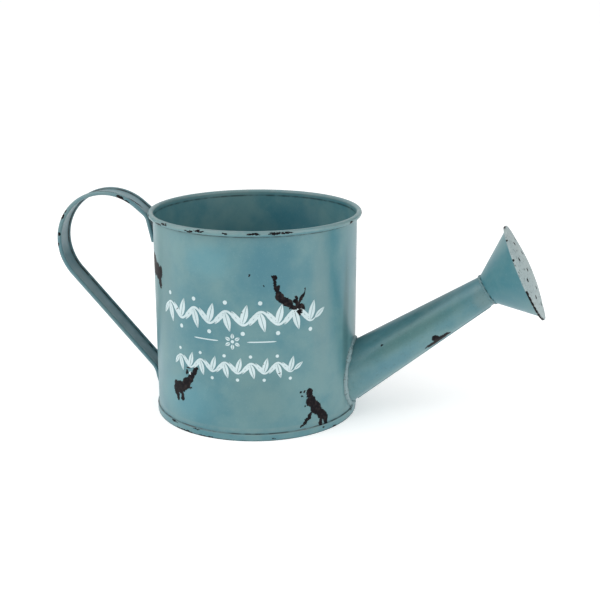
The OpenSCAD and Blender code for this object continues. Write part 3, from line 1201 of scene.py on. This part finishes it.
@dataclass
class Solder:
    """The soldered joints: lumpy beads run round the spout's ends and along the handle's tabs.

    Attributes:
        wall: Radius of the can's wall.
        root: Where the spout's axis meets the wall.
        rise: Angle of the spout above level.
        root_radius: Radius of the spout there.
        tip_radius: Radius of the spout at its tip.
        length: Length of the spout along its axis.
        bead: Radius of the bead round the spout's root.
        floor: Least height of that bead, above the seam at the foot.
        swell: How far lumps stand out or sink.
        gap: Least gap between the root bead and what it lies on.
        rings: Steps round the root bead and round its own section.
        lumps: For coarse and fine lumps their size in mm and their share of the swell.
        joints: Each small bead's name, its solid, the size of the cells it is rebuilt from and how far it has sunk.
    """

    wall: float = 65.0
    root: tuple[float, float, float] = (65.0, 0.0, 28.3)
    rise: float = 35.0
    root_radius: float = 17.0
    tip_radius: float = 9.6
    length: float = 102.0
    bead: float = 1.6
    floor: float = 4.9
    swell: float = 0.8
    gap: float = 0.03
    rings: tuple[int, int] = (220, 14)
    lumps: tuple[tuple[float, float], tuple[float, float]] = ((6.0, 0.55), (2.0, 0.75))
    joints: tuple[tuple[str, str, float, float], ...] = (
        ("solder_at_rose_neck", "rose_neck_solder", 0.42, 0.3),
        ("solder_at_upper_tab", "handle_upper_solder", 0.34, 0.0),
        ("solder_at_lower_tab", "handle_lower_solder", 0.34, 0.0),
    )
    pieces: list[bpy.types.Object] = field(default_factory=list, init=False)

    def build(self) -> None:
        """Runs the bead round the spout's root and rebuilds the small ones from their solids."""
        bpy.ops.mesh.primitive_torus_add(
            major_segments=self.rings[0], minor_segments=self.rings[1], major_radius=1.0, minor_radius=0.25
        )
        ring = start_piece("solder_at_spout_root")
        for vertex in ring.data.vertices:
            round_spout = math.atan2(vertex.co.y, vertex.co.x)
            round_bead = math.atan2(vertex.co.z, math.hypot(vertex.co.x, vertex.co.y) - 1.0)
            vertex.co = self._on_root_bead(round_spout, round_bead)
        outward(ring)
        self._finish(ring, "spout_root_solder")
        for name, node, cell, sunk in self.joints:
            piece = copy_solid(node, name)
            modify(piece, "REMESH", mode="VOXEL", voxel_size=cell * MM)
            for vertex in piece.data.vertices:
                vertex.co += vertex.normal * (self._lump(vertex.co) - sunk) * MM
            with edit_mode(piece):
                bpy.ops.mesh.select_all(action="SELECT")
                bpy.ops.mesh.vertices_smooth(factor=0.5, repeat=2)
            self._finish(piece, node)

    def _finish(self, piece: bpy.types.Object, node: str) -> None:
        """Shades a bead and puts it in its solid's stead."""
        smooth(piece, 80.0)
        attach(piece, ROOT)
        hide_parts(node)
        self.pieces.append(piece)
        log.info("%s: %d faces", piece.name, len(piece.data.polygons))

    def _lump(self, place: Vector) -> float:
        """How far the bead stands out at a place, in mm."""
        (coarse, coarse_share), (fine, fine_share) = self.lumps
        wide = noise.noise(place / (coarse * MM))
        near = noise.noise(place / (fine * MM) + Vector((7.0, 3.0, 1.0)))
        return (coarse_share * wide + fine_share * near) * self.swell

    def _on_root_bead(self, round_spout: float, round_bead: float) -> Vector:
        """Place on the bead round the spout's root, kept outside the wall and the spout.

        Args:
            round_spout: Angle round the spout.
            round_bead: Angle round the bead's own section.

        Returns:
            The place in metres.
        """
        rise = math.radians(self.rise)
        axis = Vector((math.cos(rise), 0.0, math.sin(rise)))
        up = Vector((-math.sin(rise), 0.0, math.cos(rise)))
        spoke = up * math.cos(round_spout) + Vector((0.0, 1.0, 0.0)) * math.sin(round_spout)
        taper = (self.tip_radius - self.root_radius) / self.length
        low, high = -40.0, 40.0
        for _ in range(40):
            reach = (low + high) / 2
            corner = Vector(self.root) + axis * reach + spoke * (self.root_radius + taper * reach)
            low, high = (reach, high) if math.hypot(corner.x, corner.y) < self.wall else (low, reach)
        off_wall = Vector((corner.x, corner.y, 0.0)).normalized()
        along_wall = (spoke - off_wall * spoke.dot(off_wall)).normalized()
        size = self.bead + self._lump(corner * MM)
        place = corner + (off_wall * math.sin(round_bead) + along_wall * (0.4 + 1.4 * math.cos(round_bead))) * size
        reach = (place - Vector(self.root)).dot(axis)
        spoke = place - Vector(self.root) - axis * reach
        least = self.root_radius + taper * reach + self.gap
        if spoke.length < least:
            place += spoke.normalized() * (least - spoke.length)
        flat = math.hypot(place.x, place.y)
        if flat < self.wall + self.gap:
            place.x, place.y = (v * (self.wall + self.gap) / flat for v in (place.x, place.y))
        place.z = max(place.z, self.floor)
        return place * MM

    def dress(self) -> None:
        """Gives the beads their thin, uneven coat."""
        rows = (
            (66.5, 40.0, 2.2, 1.2, 80), (68.0, 20.0, 3.0, 1.0, 100), (71.0, 12.5, 2.0, 1.0, 60),
            (68.5, 30.0, 1.6, 0.9, 90), (78.0, 47.0, 2.4, 1.2, 30), (76.0, 9.0, 2.6, 0.9, 30),
        )
        flecks = tuple(Can().fleck(*row, out=1.0) for row in rows)
        finish = Enamel(
            "solder_enamel", colour=(0.095, 0.205, 0.225), patch=(0.215, 0.310, 0.325), bare=(0.02, 0.018, 0.016),
            flecks=flecks, rough=0.42, lump=0.8, pits=0.8,
        ).build()
        for piece in self.pieces:
            dress(piece, finish)


@dataclass
class Spout:
    """The tapered spout and the rose on its end.

    Attributes:
        face_middle: Middle of the rose's face.
        face_radius: Radius of the rose's edge.
        face_up: Angle of the rose's axis above level.
        dome: How far the face's middle stands out.
        worn: Radius of the bare metal round a spray hole.
        holes: Number, ring radius and first angle of each ring of spray holes.
    """

    face_middle: tuple[float, float, float] = (170.4, 0.0, 99.0)
    face_radius: float = 31.25
    face_up: float = 26.0
    dome: float = 3.6
    worn: float = 1.35
    holes: tuple[tuple[int, float, float], ...] = ((5, 12.0, 0.0), (10, 21.5, 18.0))

    def dress(self) -> None:
        """Gives the spout, the rose and its face their finishes."""
        crimp = self._crimp_flecks()
        finishes = {
            "spout_tube": Enamel("spout_enamel", flecks=self._spout_flecks(), tones=self._spout_shade_and_tones(), pits=0.15),
            "rose_cone": Enamel("rose_enamel", flecks=crimp, reach=0.5),
            "rose_face_plate": Enamel(
                "rose_face_enamel", colour=(0.28, 0.36, 0.37), patch=(0.36, 0.43, 0.43), bare=(0.03, 0.03, 0.03),
                flecks=crimp + self._hole_flecks(), rough=0.6, reach=0.35, pits=0.7,
            ),
        }
        for node, finish in finishes.items():
            dress(frame["nodes"][node], finish.build())

    def _rim_place(self, degrees: float, out: float = 0.0, ahead: float = 0.0) -> tuple[float, float, float]:
        """Place on the rose's edge.

        Args:
            degrees: Angle round the edge from its top, going towards the can's front.
            out: Distance out from the edge.
            ahead: Distance along the rose's axis.

        Returns:
            The place in mm.
        """
        up, turn = math.radians(self.face_up), math.radians(degrees)
        axis = Vector((math.cos(up), 0.0, math.sin(up)))
        top = Vector((-math.sin(up), 0.0, math.cos(up)))
        front = Vector((0.0, -1.0, 0.0))
        spoke = top * math.cos(turn) + front * math.sin(turn)
        return tuple(Vector(self.face_middle) + spoke * (self.face_radius + out) + axis * ahead)

    def _crimp_flecks(self) -> tuple[Fleck, ...]:
        """Where the rose's folded edge has lost paint."""
        worn = [(98.0 + 2.6 * k, 5.0 + 1.6 * math.sin(2.3 * k)) for k in range(25)]
        worn += [(60.0, 5.0), (33.0, 5.0), (4.0, 7.0), (0.0, 7.0), (-4.0, 6.0), (250.0, 6.0)]
        return tuple(Fleck(self._rim_place(at, -0.1, -0.1), (0.17 * size,) * 3) for at, size in worn)

    def _hole_flecks(self) -> tuple[Fleck, ...]:
        """Where paint has gone round the spray holes."""
        made = []
        for count, ring, first in self.holes:
            sunk = self.dome * (1.0 - (ring / self.face_radius) ** 2)
            for k in range(count):
                place = self._rim_place(first + 360.0 * k / count, ring - self.face_radius, sunk)
                made.append(Fleck(place, (self.worn,) * 3))
        return tuple(made)

    def _spout_shade_and_tones(self) -> tuple[Tone, ...]:
        """Painted shade on the spout's upper side, greener and darker with a darker streak along its top, its lower
        side painted lighter and bluer, and a greyer patch near the rose.
        """
        along = (0.0, -35.0, 0.0)
        return (
            # First two: painted shade on the upper side and along the top. Third: painted light on the lower side.
            Tone(Fleck((104.0, -13.0, 60.0), (52.0, 9.0, 6.5), along), (0.058, 0.160, 0.150), 0.7),
            Tone(Fleck((96.0, -3.0, 61.5), (60.0, 9.0, 4.0), along), (0.035, 0.095, 0.095), 0.7),
            Tone(Fleck((92.0, -14.0, 38.0), (30.0, 9.0, 7.0), along), (0.070, 0.205, 0.255), 0.6),
            Tone(Fleck((146.0, -9.0, 83.0), (7.0, 10.0, 12.0), along), (0.150, 0.240, 0.240), 0.6),
        )

    def _spout_flecks(self) -> tuple[Fleck, ...]:
        """Where the spout has lost paint, on its lower front."""
        return (
            Fleck((118.5, -7.4, 53.6), (9.0, 3.0, 1.8), (0.0, -35.0, 0.0)),
            Fleck((122.5, -7.6, 57.2), (5.5, 3.0, 1.7), (0.0, -30.0, 0.0)),
            Fleck((117.6, -9.6, 56.8), (2.6, 2.5, 2.4), (0.0, -20.0, 0.0)),
            Fleck((85.2, -14.6, 50.5), (1.3, 2.0, 0.45), (0.0, -25.0, 0.0)),
            Fleck((79.5, -13.5, 54.8), (0.9, 2.0, 0.6)),
        )


@dataclass
class Studio:
    """Camera, lights and floor.

    Attributes:
        aim: Where the camera points.
        away: The camera's distance from there.
        round_to: Angle of the camera round the can from its front, towards the spout.
        above: Angle of the camera above level.
        lens: The camera's lens.
        sensor: Width of its sensor.
        flag: Angles from the camera's direction between which the surround darkens, stays dark and lightens.
        shade: How much the flag takes away.
        surround: Brightness of the surround behind the can and behind the camera.
        glow: Light that the floor itself gives, so that it stays nearly white.
        lamp_away: Distance of the lights, in metres.
    """

    aim: tuple[float, float, float] = (28.0, 5.9, 71.2)
    away: float = 717.3
    round_to: float = 11.84
    above: float = 16.24
    lens: float = 65.93
    sensor: float = 36.0
    flag: tuple[float, float, float, float] = (92.0, 112.0, 138.0, 156.0)
    shade: float = 0.8
    surround: tuple[float, float] = (1.1, 0.6)
    glow: float = 0.33
    lamp_away: float = 1.1

    def build(self) -> None:
        """Sets up everything that isn't the object."""
        self._camera()
        self._world()
        self._floor()
        self._softbox("key_light", azimuth=-50.0, elevation=36.0, size=(0.9, 0.9), power=4.5)
        self._softbox("side_light", azimuth=72.0, elevation=20.0, size=(0.3, 0.9), power=3.0)
        scene = bpy.context.scene
        scene.view_settings.view_transform = "Standard"
        scene.view_settings.look = "None"

    def _towards(self, azimuth: float, elevation: float) -> Vector:
        """Unit vector from the can towards an angle round it and above level."""
        turn, rise = math.radians(azimuth), math.radians(elevation)
        return Vector((math.sin(turn) * math.cos(rise), -math.cos(turn) * math.cos(rise), math.sin(rise)))

    def _camera(self) -> None:
        """Places the camera."""
        data = bpy.data.cameras.new("camera")
        data.lens, data.sensor_width, data.clip_start = self.lens, self.sensor, 0.05
        camera = bpy.data.objects.new("camera", data)
        back = self._towards(self.round_to, self.above)
        camera.location = (Vector(self.aim) + self.away * back) * MM
        camera.rotation_euler = back.to_track_quat("Z", "Y").to_euler()
        bpy.context.collection.objects.link(camera)
        bpy.context.scene.camera = camera

    def _world(self) -> None:
        """Makes a white surround, dimmer on the camera's side, with a dark flag behind the spout."""
        world = bpy.data.worlds.new("studio")
        world.use_nodes = True
        graph = Graph(world.node_tree)
        direction = graph.node("ShaderNodeTexCoord").outputs["Generated"]
        front = self._towards(self.round_to, 0.0)
        facing = graph.vector("DOT_PRODUCT", direction, tuple(front)).outputs["Value"]
        bright = graph.ramp(facing, 0.30, 0.98, *self.surround)
        side = tuple(Vector((0.0, 0.0, 1.0)).cross(front))
        across = graph.vector("DOT_PRODUCT", direction, side).outputs["Value"]
        angle = graph.math("ARCTAN2", across, facing)
        darken, dark, lighten, light = (math.radians(turn) for turn in self.flag)
        flag = graph.math("MULTIPLY", graph.ramp(angle, darken, dark), graph.ramp(angle, lighten, light, 1.0, 0.0))
        bright = graph.math("MULTIPLY", bright, graph.math("MULTIPLY_ADD", flag, -self.shade, 1.0))
        background = graph.node("ShaderNodeBackground")
        graph.feed(background.inputs["Strength"], bright)
        graph.feed(graph.node("ShaderNodeOutputWorld").inputs[0], background.outputs[0])
        bpy.context.scene.world = world

    def _floor(self) -> None:
        """Lays a plain pale floor."""
        bpy.ops.mesh.primitive_plane_add(size=40.0)
        floor = start_piece("floor")
        material, graph, place, shader = start_material("floor_paper")
        grain = graph.noise(place, 900.0, 2.0).outputs["Fac"]
        graph.feed(shader.inputs["Base Color"], graph.mix(grain, (0.93, 0.93, 0.93), (0.95, 0.95, 0.95)))
        shader.inputs["Roughness"].default_value = 0.9
        shader.inputs["Specular IOR Level"].default_value = 0.1
        shader.inputs["Emission Color"].default_value = (1.0, 1.0, 1.0, 1.0)
        shader.inputs["Emission Strength"].default_value = self.glow
        dress(floor, material)

    def _softbox(self, name: str, azimuth: float, elevation: float, size: tuple[float, float], power: float) -> None:
        """Adds one soft light.

        Args:
            name: The light's name.
            azimuth: Its angle round the can from the front, towards the spout.
            elevation: Its angle above level.
            size: Its width and height in metres.
            power: Its power in watts.
        """
        data = bpy.data.lights.new(name, "AREA")
        data.shape, data.size, data.size_y, data.energy = "RECTANGLE", *size, power
        light = bpy.data.objects.new(name, data)
        back = self._towards(azimuth, elevation)
        light.location = Vector((0.0, 0.0, 0.07)) + self.lamp_away * back
        light.rotation_euler = back.to_track_quat("Z", "Y").to_euler()
        bpy.context.collection.objects.link(light)


def main() -> None:
    """Builds the studio and the can's pieces."""
    logging.basicConfig(level=logging.INFO, format="%(asctime)s %(name)s: %(message)s")
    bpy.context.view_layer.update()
    Studio().build()
    can = Can()
    can.dress()
    handle = Handle()
    handle.build()
    handle.dress()
    print_work = Ornament(can)
    print_work.build()
    print_work.dress()
    solder = Solder()
    solder.build()
    solder.dress()
    Spout().dress()


if __name__ == "__main__":
    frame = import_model()
    main()
